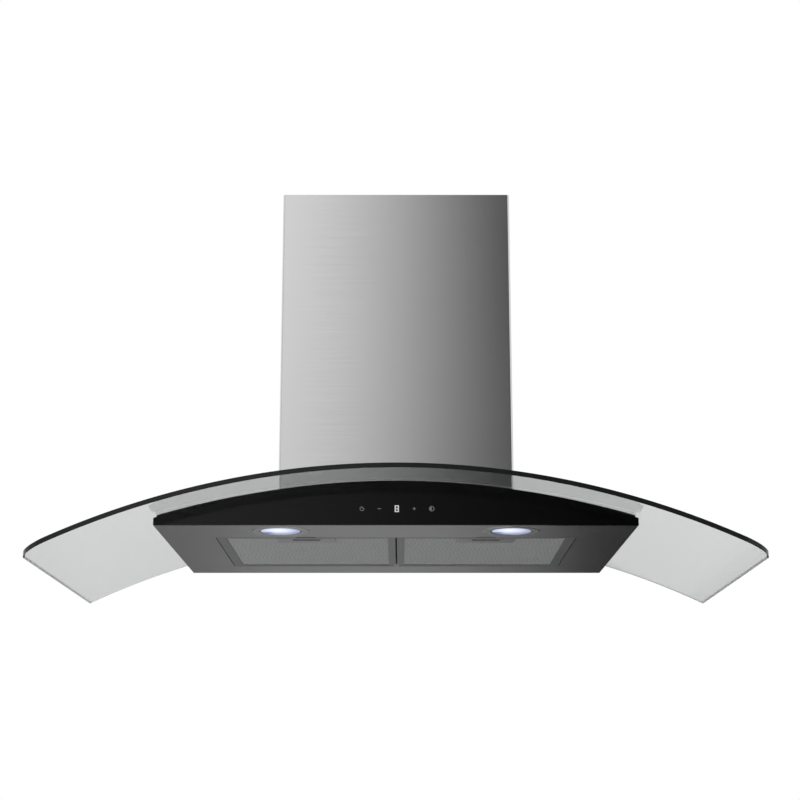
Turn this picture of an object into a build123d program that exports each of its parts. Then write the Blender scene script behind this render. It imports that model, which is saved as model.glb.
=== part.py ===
"""Wall-mounted chimney range hood with a curved glass canopy.

Frame: the wall is the plane Y = 0 and the hood stands out from it towards -Y. Z = 0 is the
underside of the body, X = 0 is the middle. Millimetres.
"""

from build123d import *
from math import asin, degrees, sqrt
import os

os.makedirs("parts", exist_ok=True)

# Driving dimensions of the body, the shallow steel box under the glass
body_w = 598.0
body_d = 422.0
body_rise = 55.8
body_arch_r = 980.0
sheet = 1.0
fascia_t = 4.0
rear_gap = 1.5
under_arch = 30.0

# Canopy glass
glass_w = 900.0
glass_d = 500.0
glass_t = 6.0
glass_r = 1044.0
glass_crown = 56.6
glass_bow = 18.0
glass_corner_r = 35.0
glass_back = 2.0

# Chimney covers
chimney_w = 311.0
chimney_d = 285.0
chimney_top = 484.0
chimney_bend_r = 3.0
chimney_gap = 0.6
chimney_lip = 12.0
upper_h = 294.0

# Grease filters and the opening that they fill
filter_w = 230.0
filter_l = 252.0
filter_t = 9.0
filter_front = 324.3
centre_gap = 2.0
side_gap = 1.2
front_gap = 1.6
rear_gap_filter = 3.4
hinge_inset = 5.0
hinge_z = 4.5
pin_r = 2.0
running = 0.05

# Lamps
lamp_x = 145.0
lamp_y = -378.0
lamp_r = 36.0
lamp_hole_r = 31.0

# Blower
box_w = 250.0
box_front = 262.0
box_top = 300.0
scroll_y = -178.0
scroll_z = 146.0
scroll_r = 70.0
scroll_step = 8.0
scroll_wall = 2.5
scroll_half_w = 55.0
inlet_r = 50.0
wheel_r = 62.0
wheel_half_w = 50.0
blade_count = 30
shaft_r = 4.0

# Duct collar
duct_y = -131.0
collar_r = 74.5
collar_h = 43.0

# Wall fixing
plate_w = 280.0
plate_top = 355.0
screw_r = 4.0
screw_x = 120.0
screw_low_z = 28.0
screw_high_z = 335.0

# Touch controls
icon_pitch = 21.5
icon_z = 20.0

# Worked out from the dimensions above
panel_front = body_d - fascia_t
panel_back = rear_gap + sheet
opening_w = 2 * filter_w + centre_gap + 2 * side_gap
opening_front = filter_front + front_gap
opening_back = filter_front - filter_l - rear_gap_filter
opening_l = opening_front - opening_back
opening_y = -(opening_front + opening_back) / 2
filter_x = centre_gap / 2 + filter_w / 2
hinge_y = -(filter_front - filter_l + hinge_inset)
glass_top_r = glass_r + glass_t
glass_top = glass_crown + glass_t
wheel_y = scroll_y + scroll_step / 2
wheel_z = scroll_z + scroll_step / 4
ALL_MIN = (Align.MIN, Align.MIN, Align.MIN)
ON_BASE = (Align.CENTER, Align.CENTER, Align.MIN)
FORWARD = (0, -1, 0)
SIDES = (("left", -1), ("right", 1))


def arch_height(x, radius, crown):
    """Height over the point x of an arch with this radius and crown."""
    return crown - radius + sqrt(radius**2 - x**2)


def arched_strip(plane, half_w, radius, crown, thickness):
    """Face of a bent sheet seen from the front: an arc with a parallel arc under it."""
    outer_end = arch_height(half_w, radius, crown)
    inner_end = arch_height(half_w, radius - thickness, crown - thickness)
    with BuildSketch(plane) as strip:
        with BuildLine():
            ThreePointArc((-half_w, outer_end), (0, crown), (half_w, outer_end))
            Line((half_w, outer_end), (half_w, inner_end))
            ThreePointArc((half_w, inner_end), (0, crown - thickness), (-half_w, inner_end))
            Line((-half_w, inner_end), (-half_w, outer_end))
        make_face()
    return strip.sketch


def arched_plate(plane, half_w, radius, crown, bottom):
    """Face of a plate with a straight bottom edge and an arched top edge."""
    end = arch_height(half_w, radius, crown)
    with BuildSketch(plane) as plate:
        with BuildLine():
            ThreePointArc((-half_w, end), (0, crown), (half_w, end))
            Polyline((half_w, end), (half_w, bottom), (-half_w, bottom), (-half_w, end))
        make_face()
    return plate.sketch


def arch_core(radius, crown):
    """The full round under an arch, for cutting what stands on it."""
    with BuildPart(mode=Mode.PRIVATE) as core:
        with BuildSketch(Plane.XZ):
            with Locations((0, crown - radius)):
                Circle(radius)
        extrude(amount=glass_d)
    return core.part


def span(x, y, z, mode=Mode.ADD):
    """Box between two values on each axis, in the part being built."""
    with Locations((x[0], y[0], z[0])):
        Box(x[1] - x[0], y[1] - y[0], z[1] - z[0], align=ALL_MIN, mode=mode)


# Body
# The underside panel is one folded sheet: side and rear flanges, and a rim round the opening.
flange_h = 7.8
rim_h = 11.0
latch_w = 25.0
latch_notch = 5.0
latch_notch_h = 8.0
with BuildPart() as bottom_panel:
    with BuildSketch():
        with Locations((0, -(panel_front + panel_back) / 2)):
            Rectangle(body_w, panel_front - panel_back)
        with Locations((-lamp_x, lamp_y), (lamp_x, lamp_y)):
            Circle(lamp_hole_r, mode=Mode.SUBTRACT)
    extrude(amount=sheet)
    with BuildSketch():
        with Locations((0, -(panel_front + panel_back) / 2)):
            Rectangle(body_w, panel_front - panel_back)
        with Locations((0, -(panel_front + panel_back + sheet) / 2)):
            Rectangle(body_w - 2 * sheet, panel_front - panel_back - sheet, mode=Mode.SUBTRACT)
    extrude(amount=flange_h)
    with BuildSketch():
        with Locations((0, opening_y)):
            Rectangle(opening_w + 2 * sheet, opening_l + 2 * sheet)
    extrude(amount=rim_h)
    with BuildSketch():
        with Locations((0, opening_y)):
            Rectangle(opening_w, opening_l)
    extrude(amount=rim_h, mode=Mode.SUBTRACT)
    with Locations(Location((0, hinge_y, hinge_z), (0, 90, 0))):
        Cylinder(pin_r + running, opening_w + 20, mode=Mode.SUBTRACT)
    for side, sign in SIDES:
        notch_x = (sign * filter_x - latch_w / 2, sign * filter_x + latch_w / 2)
        notch_y = (-opening_front - latch_notch, -opening_front)
        span(notch_x, notch_y, (0, latch_notch_h), mode=Mode.SUBTRACT)
bottom_panel.part.label = "bottom_panel"
export_step(bottom_panel.part, "parts/bottom_panel.step")

# The rear panel closes the body's back. Two windows clear the heads of the lower wall screws.
screw_window_r = 9.0
with BuildPart() as rear_panel:
    rear_face = Plane.XZ.offset(rear_gap)
    outline = arched_plate(rear_face, body_w / 2, body_arch_r - sheet, body_rise - sheet, 0)
    extrude(outline, amount=sheet, dir=FORWARD)
    with Locations(*[Location((x, 0, screw_low_z), (90, 0, 0)) for x in (-screw_x, screw_x)]):
        Cylinder(screw_window_r, 4 * sheet + 2 * rear_gap, mode=Mode.SUBTRACT)
rear_panel.part.label = "rear_panel"
export_step(rear_panel.part, "parts/rear_panel.step")

# The top panel is bent to the arch that carries the glass, with the blower's inlet in it.
inlet_rim = 7.0
with BuildPart() as top_panel:
    outline = arched_strip(rear_face, body_w / 2, body_arch_r, body_rise, sheet)
    extrude(outline, amount=panel_front - rear_gap, dir=FORWARD)
    span(
        (inlet_rim - box_w / 2, box_w / 2 - inlet_rim),
        (inlet_rim - box_front, -inlet_rim - sheet),
        (0, 2 * body_rise),
        mode=Mode.SUBTRACT,
    )
top_panel.part.label = "top_panel"
export_step(top_panel.part, "parts/top_panel.step")

# The fascia carrier is the arched front plate that the black glass is bonded to.
housing_w = 116.0
housing_z = (8.0, 32.0)
with BuildPart() as fascia_carrier:
    outline = arched_plate(
        Plane.XZ.offset(panel_front - sheet),
        body_w / 2 - sheet,
        body_arch_r - sheet,
        body_rise - sheet,
        sheet,
    )
    extrude(outline, amount=sheet, dir=FORWARD)
    span(
        (-housing_w / 2, housing_w / 2),
        (-panel_front - sheet, -panel_front + 2 * sheet),
        housing_z,
        mode=Mode.SUBTRACT,
    )
fascia_carrier.part.label = "fascia_carrier"
export_step(fascia_carrier.part, "parts/fascia_carrier.step")

with BuildPart() as fascia_glass:
    outline = arched_plate(Plane.XZ.offset(panel_front), body_w / 2, body_arch_r, body_rise, 0)
    extrude(outline, amount=fascia_t, dir=FORWARD)
fascia_glass.part.label = "fascia_glass"
export_step(fascia_glass.part, "parts/fascia_glass.step")

# Touch controls: a tray behind the carrier, and a board with foam sensor pads and a display.
tray_depth = 16.0
tray_wall = 2.0
tray_ear = 8.0
board_y = -panel_front + 3.0
board_t = 1.6
pad_r = 5.0
display_half_w = 6.0
display_half_h = 8.0
with BuildPart() as control_tray:
    span(
        (-housing_w / 2, housing_w / 2),
        (-panel_front + sheet, -panel_front + sheet + tray_depth),
        housing_z,
    )
    offset(
        amount=-tray_wall, openings=control_tray.faces().sort_by(Axis.Y)[0], mode=Mode.REPLACE
    )
    for x in (-housing_w / 2 - tray_ear, housing_w / 2):
        span((x, x + tray_ear), (-panel_front + sheet, -panel_front + sheet + tray_wall), housing_z)
control_tray.part.label = "control_tray"
export_step(control_tray.part, "parts/control_tray.step")

with BuildPart() as touch_board:
    span(
        (-housing_w / 2 + tray_wall, housing_w / 2 - tray_wall),
        (board_y, board_y + board_t),
        (housing_z[0] + tray_wall, housing_z[1] - tray_wall),
    )
    pad_x = [step * icon_pitch for step in (-2, -1, 1, 2)]
    with Locations(*[Location((x, board_y, icon_z), (90, 0, 0)) for x in pad_x]):
        Cylinder(pad_r, board_y + panel_front, align=ON_BASE)
    span(
        (-display_half_w, display_half_w),
        (-panel_front, board_y),
        (icon_z - display_half_h, icon_z + display_half_h),
    )
touch_board.part.label = "touch_board"
export_step(touch_board.part, "parts/touch_board.step")

# Canopy glass
# One bent sheet with a bowed front edge, rounded front corners and a notch for the motor box.
notch_gap = 5.0
notch_corner_r = 12.0
notch_half_w = box_w / 2 + notch_gap
notch_front = box_front + notch_gap
with BuildPart() as canopy_glass:
    outline = arched_strip(
        Plane.XZ.offset(glass_back), glass_w / 2, glass_top_r, glass_top, glass_t
    )
    extrude(outline, amount=glass_d, dir=FORWARD)
    with BuildSketch(Plane.XY.offset(-glass_w / 4)) as plan:
        with BuildLine():
            ThreePointArc(
                (-glass_w / 2, glass_bow - glass_d), (0, -glass_d), (glass_w / 2, glass_bow - glass_d)
            )
            Polyline(
                (glass_w / 2, glass_bow - glass_d),
                (glass_w / 2, -glass_back),
                (-glass_w / 2, -glass_back),
                (-glass_w / 2, glass_bow - glass_d),
            )
        make_face()
        fillet(plan.vertices().group_by(Axis.Y)[0], glass_corner_r)
        with BuildSketch(mode=Mode.SUBTRACT) as notch:
            with Locations((0, -notch_front)):
                Rectangle(2 * notch_half_w, 2 * notch_front, align=(Align.CENTER, Align.MIN))
            fillet(notch.vertices().group_by(Axis.Y)[0], notch_corner_r)
    extrude(amount=glass_w / 2, mode=Mode.INTERSECT)
canopy_glass.part.label = "canopy_glass"
export_step(canopy_glass.part, "parts/canopy_glass.step")

# The seal fills the wedge between the body's tighter arch and the glass, round the edge.
seal_w = 8.0
seal_gap = 0.05
seal_inset = 3.0
seal_back = 4.0
seal_across = body_w - 2 * seal_inset
seal_along = panel_front - seal_inset - seal_back
with BuildPart() as canopy_seal:
    with BuildSketch(Plane.XY.offset(-glass_w / 4)):
        with Locations((0, -seal_back - seal_along / 2)):
            Rectangle(seal_across, seal_along)
            Rectangle(seal_across - 2 * seal_w, seal_along - 2 * seal_w, mode=Mode.SUBTRACT)
        with Locations((0, -seal_back)):
            Rectangle(2 * notch_half_w, 2 * seal_w, mode=Mode.SUBTRACT)
    extrude(amount=glass_w / 2)
    add(arch_core(glass_r - seal_gap, glass_crown - seal_gap), mode=Mode.INTERSECT)
    add(arch_core(body_arch_r + seal_gap, body_rise + seal_gap), mode=Mode.SUBTRACT)
canopy_seal.part.label = "canopy_seal"
export_step(canopy_seal.part, "parts/canopy_seal.step")

# Glass clamps: angle brackets on the motor box hold the glass down through rubber pads.
clamp_y = (-215.0, -75.0)
clamp_w = 24.0
clamp_z = 57.5
clamp_reach = 22.0
clamp_t = 1.5
clamp_h = 18.0
pad_bottom = 40.0
with BuildPart() as glass_pads:
    for side, sign in SIDES:
        for y in clamp_y:
            inner = sign * (notch_half_w + 1)
            outer = sign * (box_w / 2 + clamp_reach)
            x = (min(inner, outer), max(inner, outer))
            span(x, (y - clamp_w / 2, y + clamp_w / 2), (pad_bottom, clamp_z))
    add(arch_core(glass_top_r + seal_gap, glass_top + seal_gap), mode=Mode.SUBTRACT)
glass_pads.part.label = "glass_pads"
export_step(glass_pads.part, "parts/glass_pads.step")

with BuildPart() as glass_clamps:
    for side, sign in SIDES:
        for y in clamp_y:
            with BuildSketch(Plane.XZ.offset(-y - clamp_w / 2)):
                with BuildLine():
                    Polyline(
                        (sign * (box_w / 2 + clamp_reach), clamp_z + clamp_t / 2),
                        (sign * (box_w + clamp_t) / 2, clamp_z + clamp_t / 2),
                        (sign * (box_w + clamp_t) / 2, clamp_z + clamp_h),
                    )
                trace(line_width=clamp_t)
            extrude(amount=clamp_w)
glass_clamps.part.label = "glass_clamps"
export_step(glass_clamps.part, "parts/glass_clamps.step")

clamp_screw_r = 4.0
clamp_head_t = 3.0
with BuildPart() as clamp_screws:
    for side, sign in SIDES:
        for y in clamp_y:
            head = Plane(
                origin=(sign * (box_w / 2 + clamp_t), y, clamp_z + 0.6 * clamp_h),
                z_dir=(sign, 0, 0),
            )
            with BuildSketch(head):
                RegularPolygon(clamp_screw_r, 6)
            extrude(amount=clamp_head_t)
clamp_screws.part.label = "clamp_screws"
export_step(clamp_screws.part, "parts/clamp_screws.step")

# Wall fixing: the plate that hangs the whole hood, with four screw holes.
plate_bottom = 3.0
plate_corner_r = 12.0
with BuildPart() as back_plate:
    span((-plate_w / 2, plate_w / 2), (-rear_gap, 0), (plate_bottom, plate_top))
    hole_at = [(x, z) for x in (-screw_x, screw_x) for z in (screw_low_z, screw_high_z)]
    with Locations(*[Location((x, 0, z), (90, 0, 0)) for x, z in hole_at]):
        Cylinder(screw_r, 4 * rear_gap, mode=Mode.SUBTRACT)
    fillet(back_plate.edges().filter_by(Axis.Y).group_by(Axis.Z)[-1], plate_corner_r)
back_plate.part.label = "back_plate"
export_step(back_plate.part, "parts/back_plate.step")

# Motor box: sheet-steel case, open below over the body's inlet, round outlet in its top.
gland_x = 106.0
gland_y = -30.0
gland_r = 4.0
gland_wall = 3.0
gland_flange_r = 10.0
gland_flange_t = 4.0
gland_reach = 14.0
gland_depth = 6.0
outlet_r = 60.0
with BuildPart() as motor_box:
    span((-box_w / 2, box_w / 2), (-box_front, -rear_gap), (under_arch, box_top))
    span(
        (sheet - box_w / 2, box_w / 2 - sheet),
        (sheet - box_front, -rear_gap - sheet),
        (under_arch, box_top - sheet),
        mode=Mode.SUBTRACT,
    )
    add(arch_core(body_arch_r, body_rise), mode=Mode.SUBTRACT)
    with Locations((0, duct_y, box_top)):
        Cylinder(outlet_r, 4 * sheet, mode=Mode.SUBTRACT)
    with Locations((gland_x, gland_y, box_top)):
        Cylinder(gland_r + gland_wall, 4 * sheet, mode=Mode.SUBTRACT)
motor_box.part.label = "motor_box"
export_step(motor_box.part, "parts/motor_box.step")


# Blower
def scroll_outline(grow, top):
    """Four-centre scroll seen from the right: three growing quarter turns, then up to the throat."""
    first = scroll_r + grow
    second = first + scroll_step
    third = second + scroll_step
    tongue_angle = degrees(asin(grow / first))
    tongue = (scroll_y - grow, scroll_z + sqrt(first**2 - grow**2))
    front = (scroll_y - first, scroll_z)
    rear = (scroll_y + scroll_step + third, scroll_z + scroll_step)
    with BuildSketch(Plane.YZ) as outline:
        with BuildLine():
            CenterArc((scroll_y, scroll_z), first, 90 + tongue_angle, 90 - tongue_angle)
            CenterArc((scroll_y + scroll_step, scroll_z), second, 180, 90)
            CenterArc((scroll_y + scroll_step, scroll_z + scroll_step), third, 270, 90)
            Polyline(rear, (rear[0], top), (tongue[0], top), tongue)
        make_face()
    return outline.sketch


# Each moulded half carries one inlet, with a lip that guides air into the wheel.
for side, sign in SIDES:
    reach = scroll_half_w + scroll_wall
    direction = (sign, 0, 0)
    with BuildPart() as volute:
        extrude(scroll_outline(scroll_wall, box_top - sheet), amount=reach, dir=direction)
        extrude(
            scroll_outline(0, box_top - sheet),
            amount=scroll_half_w,
            dir=direction,
            mode=Mode.SUBTRACT,
        )
        with Locations(Location((sign * reach, wheel_y, wheel_z), (0, 90, 0))):
            Cylinder(inlet_r + scroll_wall, 3 * scroll_wall)
            Cylinder(inlet_r, 4 * scroll_wall, mode=Mode.SUBTRACT)
    volute.part.label = f"volute_{side}"
    export_step(volute.part, f"parts/volute_{side}.step")

# The wheel turns about a level axis from side to side, and draws air in at both ends.
wheel_plane = Plane(origin=(0, wheel_y, wheel_z), x_dir=(0, 1, 0), z_dir=(1, 0, 0))
ring_w = 12.0
ring_t = 2.0
disc_x = 6.0
hub_r = 12.0
hub_l = 20.0
blade_t = 1.2
blade_lean = 35
with BuildPart() as impeller:
    with BuildSketch(wheel_plane.offset(-wheel_half_w)):
        with PolarLocations(wheel_r - ring_w / 2, blade_count):
            Rectangle(ring_w - 1, blade_t, rotation=blade_lean)
    extrude(amount=2 * wheel_half_w)
    for x in (-wheel_half_w, wheel_half_w - ring_t):
        with BuildSketch(wheel_plane.offset(x)):
            Circle(wheel_r)
            Circle(wheel_r - ring_w, mode=Mode.SUBTRACT)
        extrude(amount=ring_t)
    with BuildSketch(wheel_plane.offset(disc_x - ring_t / 2)):
        Circle(wheel_r)
    extrude(amount=ring_t)
    with BuildSketch(wheel_plane.offset(disc_x - ring_t / 2)):
        Circle(hub_r)
    extrude(amount=hub_l)
    with BuildSketch(wheel_plane):
        Circle(shaft_r)
    extrude(amount=hub_l + disc_x, mode=Mode.SUBTRACT)
impeller.part.label = "impeller"
export_step(impeller.part, "parts/impeller.step")

# Motor: it stands inside the wheel's left half, on a spider in the left inlet.
motor_r = 42.0
motor_x = (-60.0, -6.0)
motor_wall = 1.5
bush_l = 8.0
bush_r = 8.0
rotor_r = 22.0
rotor_l = 30.0
air_gap = 0.5
shaft_end = 4.0
motor_mid = sum(motor_x) / 2
with BuildPart() as motor_shaft:
    with BuildSketch(wheel_plane.offset(motor_x[0] - shaft_end)):
        Circle(shaft_r)
    extrude(amount=disc_x + hub_l - ring_t / 2 - motor_x[0] + shaft_end)
motor_shaft.part.label = "motor_shaft"
export_step(motor_shaft.part, "parts/motor_shaft.step")

with BuildPart() as motor_rotor:
    with BuildSketch(wheel_plane.offset(motor_mid - rotor_l / 2)):
        Circle(rotor_r)
        Circle(shaft_r, mode=Mode.SUBTRACT)
    extrude(amount=rotor_l)
motor_rotor.part.label = "motor_rotor"
export_step(motor_rotor.part, "parts/motor_rotor.step")

with BuildPart() as motor_stator:
    with BuildSketch(wheel_plane.offset(motor_mid - rotor_l / 2)):
        Circle(motor_r - motor_wall)
        Circle(rotor_r + air_gap, mode=Mode.SUBTRACT)
    extrude(amount=rotor_l)
motor_stator.part.label = "motor_stator"
export_step(motor_stator.part, "parts/motor_stator.step")

with BuildPart() as motor_bushes:
    for x in (motor_x[0], motor_x[1] - bush_l):
        with BuildSketch(wheel_plane.offset(x)):
            Circle(bush_r)
            Circle(shaft_r + running, mode=Mode.SUBTRACT)
        extrude(amount=bush_l)
motor_bushes.part.label = "motor_bushes"
export_step(motor_bushes.part, "parts/motor_bushes.step")

with BuildPart() as motor_housing:
    with BuildSketch(wheel_plane.offset(motor_x[0])):
        Circle(motor_r)
    extrude(amount=motor_x[1] - motor_x[0])
    with BuildSketch(wheel_plane.offset(motor_x[0] + motor_wall)):
        Circle(motor_r - motor_wall)
        Circle(bush_r + motor_wall, mode=Mode.SUBTRACT)
    extrude(amount=motor_x[1] - motor_x[0] - 2 * motor_wall, mode=Mode.SUBTRACT)
    with BuildSketch(wheel_plane.offset(motor_x[0])):
        Circle(bush_r)
    extrude(amount=motor_x[1] - motor_x[0], mode=Mode.SUBTRACT)
    with BuildSketch(wheel_plane.offset(motor_x[0] + bush_l)):
        Circle(bush_r + motor_wall)
    extrude(amount=motor_x[1] - motor_x[0] - 2 * bush_l, mode=Mode.SUBTRACT)
motor_housing.part.label = "motor_housing"
export_step(motor_housing.part, "parts/motor_housing.step")

spider_t = 2.0
spider_ring = 4.0
cup_wall = 1.5
cup_l = 8.0
arm_w = 10.0
lip_end = scroll_half_w + 2.5 * scroll_wall
with BuildPart() as motor_spider:
    with BuildSketch(wheel_plane.offset(-lip_end - spider_t)):
        Circle(motor_r + spider_ring)
        with PolarLocations(0, 3, start_angle=90):
            Rectangle(inlet_r + scroll_wall, arm_w, align=(Align.MIN, Align.CENTER))
        Circle(motor_r, mode=Mode.SUBTRACT)
    extrude(amount=spider_t)
    with BuildSketch(wheel_plane.offset(-lip_end)):
        Circle(motor_r + cup_wall)
        Circle(motor_r, mode=Mode.SUBTRACT)
    extrude(amount=lip_end + motor_x[0] + cup_l)
motor_spider.part.label = "motor_spider"
export_step(motor_spider.part, "parts/motor_spider.step")

# Electrics in the space beside the motor box
power_y = (-190.0, -60.0)
power_z = (190.0, 285.0)
power_t = 20.0
power_wall = 2.0
lid_t = 1.5
with BuildPart() as power_box:
    span((box_w / 2, box_w / 2 + power_t), power_y, power_z)
    offset(amount=-power_wall, openings=power_box.faces().sort_by(Axis.X)[-1], mode=Mode.REPLACE)
power_box.part.label = "power_box"
export_step(power_box.part, "parts/power_box.step")

# The board stands on four posts and carries a transformer, a relay and a choke.
board_margin = 4.0
post_l = 2.0
post_w = 6.0
board_x = box_w / 2 + power_wall + post_l
component_h = 9.4
component_w = 18.0
with BuildPart() as power_board:
    span(
        (board_x, board_x + board_t),
        (power_y[0] + board_margin, power_y[1] - board_margin),
        (power_z[0] + board_margin, power_z[1] - board_margin),
    )
    for y in (power_y[0] + 15, power_y[0] + 45, power_y[0] + 75):
        span(
            (board_x + board_t, board_x + board_t + component_h),
            (y, y + component_w),
            (power_z[0] + 20, power_z[0] + 50),
        )
    for y in (power_y[0] + 12, power_y[1] - 18):
        for z in (power_z[0] + 12, power_z[1] - 18):
            span((board_x - post_l, board_x), (y, y + post_w), (z, z + post_w))
power_board.part.label = "power_board"
export_step(power_board.part, "parts/power_board.step")

with BuildPart() as power_lid:
    span((box_w / 2 + power_t, box_w / 2 + power_t + lid_t), power_y, power_z)
    fillet(power_lid.edges().filter_by(Axis.X), 3)
power_lid.part.label = "power_lid"
export_step(power_lid.part, "parts/power_lid.step")

capacitor_r = 11.0
capacitor_l = 55.0
capacitor_x = -box_w / 2 - capacitor_r - 2.0
capacitor_y = -120.0
capacitor_z = 210.0
strap_z = 230.0
strap_h = 8.0
with BuildPart() as capacitor:
    with Locations((capacitor_x, capacitor_y, capacitor_z)):
        Cylinder(capacitor_r, capacitor_l, align=ON_BASE)
    fillet(capacitor.edges().group_by(Axis.Z)[-1], 2)
    with Locations((capacitor_x, capacitor_y, strap_z)):
        Cylinder(capacitor_r + 1, strap_h, align=ON_BASE)
    span(
        (-box_w / 2 - 6, -box_w / 2),
        (capacitor_y - strap_h, capacitor_y + strap_h),
        (strap_z, strap_z + strap_h),
    )
capacitor.part.label = "capacitor"
export_step(capacitor.part, "parts/capacitor.step")

with BuildPart() as cable_gland:
    with Locations((gland_x, gland_y, box_top)):
        Cylinder(gland_flange_r, gland_flange_t, align=ON_BASE)
    with Locations((gland_x, gland_y, box_top - gland_depth)):
        Cylinder(gland_r + gland_wall, gland_reach + gland_depth, align=ON_BASE)
        Cylinder(gland_r, gland_reach + gland_depth, align=ON_BASE, mode=Mode.SUBTRACT)
cable_gland.part.label = "cable_gland"
export_step(cable_gland.part, "parts/cable_gland.step")

# Duct collar with two backdraft flaps that hang on pins across it
collar_wall = 2.5
collar_flange = 13.0
collar_flange_t = 3.0
ledge_z = box_top + 14
ledge_w = 5.0
ledge_t = 2.6
pin_z = box_top + 18
flap_t = 1.5
flap_pin_r = 1.5
flap_offset = 5.0
knuckle_r = 3.0
flap_r = collar_r - collar_wall - 1.5
with BuildPart() as outlet_collar:
    with BuildSketch(Plane.XY.offset(box_top)):
        with Locations((0, duct_y)):
            Circle(collar_r + collar_flange)
            Circle(outlet_r, mode=Mode.SUBTRACT)
    extrude(amount=collar_flange_t)
    with BuildSketch(Plane.XY.offset(box_top)):
        with Locations((0, duct_y)):
            Circle(collar_r)
            Circle(collar_r - collar_wall, mode=Mode.SUBTRACT)
    extrude(amount=collar_h)
    with BuildSketch(Plane.XY.offset(ledge_z)):
        with Locations((0, duct_y)):
            Circle(collar_r - collar_wall)
            Circle(collar_r - collar_wall - ledge_w, mode=Mode.SUBTRACT)
            Rectangle(2 * collar_r, 4 * flap_offset, mode=Mode.SUBTRACT)
    extrude(amount=ledge_t)
    pins = [Location((0, duct_y + dy, pin_z), (0, 90, 0)) for dy in (-flap_offset, flap_offset)]
    with Locations(*pins):
        Cylinder(flap_pin_r, 3 * collar_r, mode=Mode.SUBTRACT)
outlet_collar.part.label = "outlet_collar"
export_step(outlet_collar.part, "parts/outlet_collar.step")

with BuildPart() as flap_pins:
    with Locations(*pins):
        Cylinder(flap_pin_r, 2 * (collar_r - 0.8))
flap_pins.part.label = "flap_pins"
export_step(flap_pins.part, "parts/flap_pins.step")

for name, sign in (("front", -1), ("rear", 1)):
    axis_y = duct_y + sign * flap_offset
    with BuildPart() as flap:
        with BuildSketch(Plane.XY.offset(pin_z - flap_t / 2)):
            with Locations((0, duct_y)):
                Circle(flap_r)
            with Locations((0, axis_y + sign * flap_r)):
                Rectangle(2 * flap_r, 2 * flap_r, mode=Mode.INTERSECT)
        extrude(amount=flap_t)
        with Locations(Location((0, axis_y, pin_z), (0, 90, 0))):
            Cylinder(knuckle_r, 2 * flap_r - 6)
            Cylinder(flap_pin_r + running, 2 * collar_r, mode=Mode.SUBTRACT)
    flap.part.label = f"flap_{name}"
    export_step(flap.part, f"parts/flap_{name}.step")


# Chimney covers
def cover_outline(plane, half_w, front, back, bend_r):
    """Plan of a folded cover: three walls and two lips that turn in at the wall."""
    with BuildSketch(plane) as outline:
        with Locations((0, -(front + back) / 2)):
            Rectangle(2 * half_w, front - back)
        fillet(outline.vertices(), bend_r)
        with BuildSketch(mode=Mode.SUBTRACT) as inside:
            with Locations((0, -(front + back) / 2)):
                Rectangle(2 * (half_w - sheet), front - back - 2 * sheet)
            fillet(inside.vertices(), bend_r - sheet)
        with Locations((0, -back)):
            Rectangle(2 * (half_w - chimney_lip), 4 * sheet, mode=Mode.SUBTRACT)
    return outline.sketch


# The lower cover stands on the glass, so its foot is cut to the arch.
cover_back = 1.0
foot_gap = 0.3
clip_z = 105.0
clip_h = 16.0
clip_w = 30.0
clip_y = -205.0
cover_screw_at = (0, clip_y - clip_w / 2, clip_z + clip_h / 2)
cover_screw_r = 2.0
with BuildPart() as lower_chimney:
    add(cover_outline(Plane.XY.offset(under_arch), chimney_w / 2, chimney_d, cover_back, chimney_bend_r))
    extrude(amount=chimney_top - under_arch)
    add(arch_core(glass_top_r + foot_gap, glass_top + foot_gap), mode=Mode.SUBTRACT)
    with Locations(Location(cover_screw_at, (0, 90, 0))):
        Cylinder(cover_screw_r, 2 * chimney_w, mode=Mode.SUBTRACT)
lower_chimney.part.label = "lower_chimney"
export_step(lower_chimney.part, "parts/lower_chimney.step")

upper_half_w = chimney_w / 2 - sheet - chimney_gap
upper_front = chimney_d - sheet - chimney_gap
upper_back = cover_back + sheet + chimney_gap
upper_bend_r = 2.5
upper_z = chimney_top - 1 - upper_h
bracket_z = (456.0, 478.0)
bracket_screw_at = (0, -24.0, sum(bracket_z) / 2)
with BuildPart() as upper_chimney:
    add(cover_outline(Plane.XY.offset(upper_z), upper_half_w, upper_front, upper_back, upper_bend_r))
    extrude(amount=upper_h)
    with Locations(Location(bracket_screw_at, (0, 90, 0))):
        Cylinder(cover_screw_r, 2 * chimney_w, mode=Mode.SUBTRACT)
upper_chimney.part.label = "upper_chimney"
export_step(upper_chimney.part, "parts/upper_chimney.step")

# Wall bracket of the upper cover: a strip on the wall with ears forward to the side walls.
strip_t = 1.5
bracket_x = upper_half_w - chimney_lip - 2.0
bracket_hole_x = 100.0
ear_y = (-10.0, -34.0)
ear_x = upper_half_w - sheet
with BuildPart() as ceiling_bracket:
    with BuildSketch(Plane.XY.offset(bracket_z[0])):
        for side, sign in SIDES:
            with BuildLine():
                Polyline(
                    (0, -strip_t / 2),
                    (sign * bracket_x, -strip_t / 2),
                    (sign * bracket_x, ear_y[0]),
                    (sign * (ear_x - strip_t / 2), ear_y[0]),
                    (sign * (ear_x - strip_t / 2), ear_y[1]),
                )
            trace(line_width=strip_t)
    extrude(amount=bracket_z[1] - bracket_z[0])
    hole_at = [(x, 0, bracket_screw_at[2]) for x in (-bracket_hole_x, bracket_hole_x)]
    with Locations(*[Location(centre, (90, 0, 0)) for centre in hole_at]):
        Cylinder(screw_r, 4 * strip_t, mode=Mode.SUBTRACT)
    with Locations(Location(bracket_screw_at, (0, 90, 0))):
        Cylinder(cover_screw_r, 2 * chimney_w, mode=Mode.SUBTRACT)
ceiling_bracket.part.label = "ceiling_bracket"
export_step(ceiling_bracket.part, "parts/ceiling_bracket.step")

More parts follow.
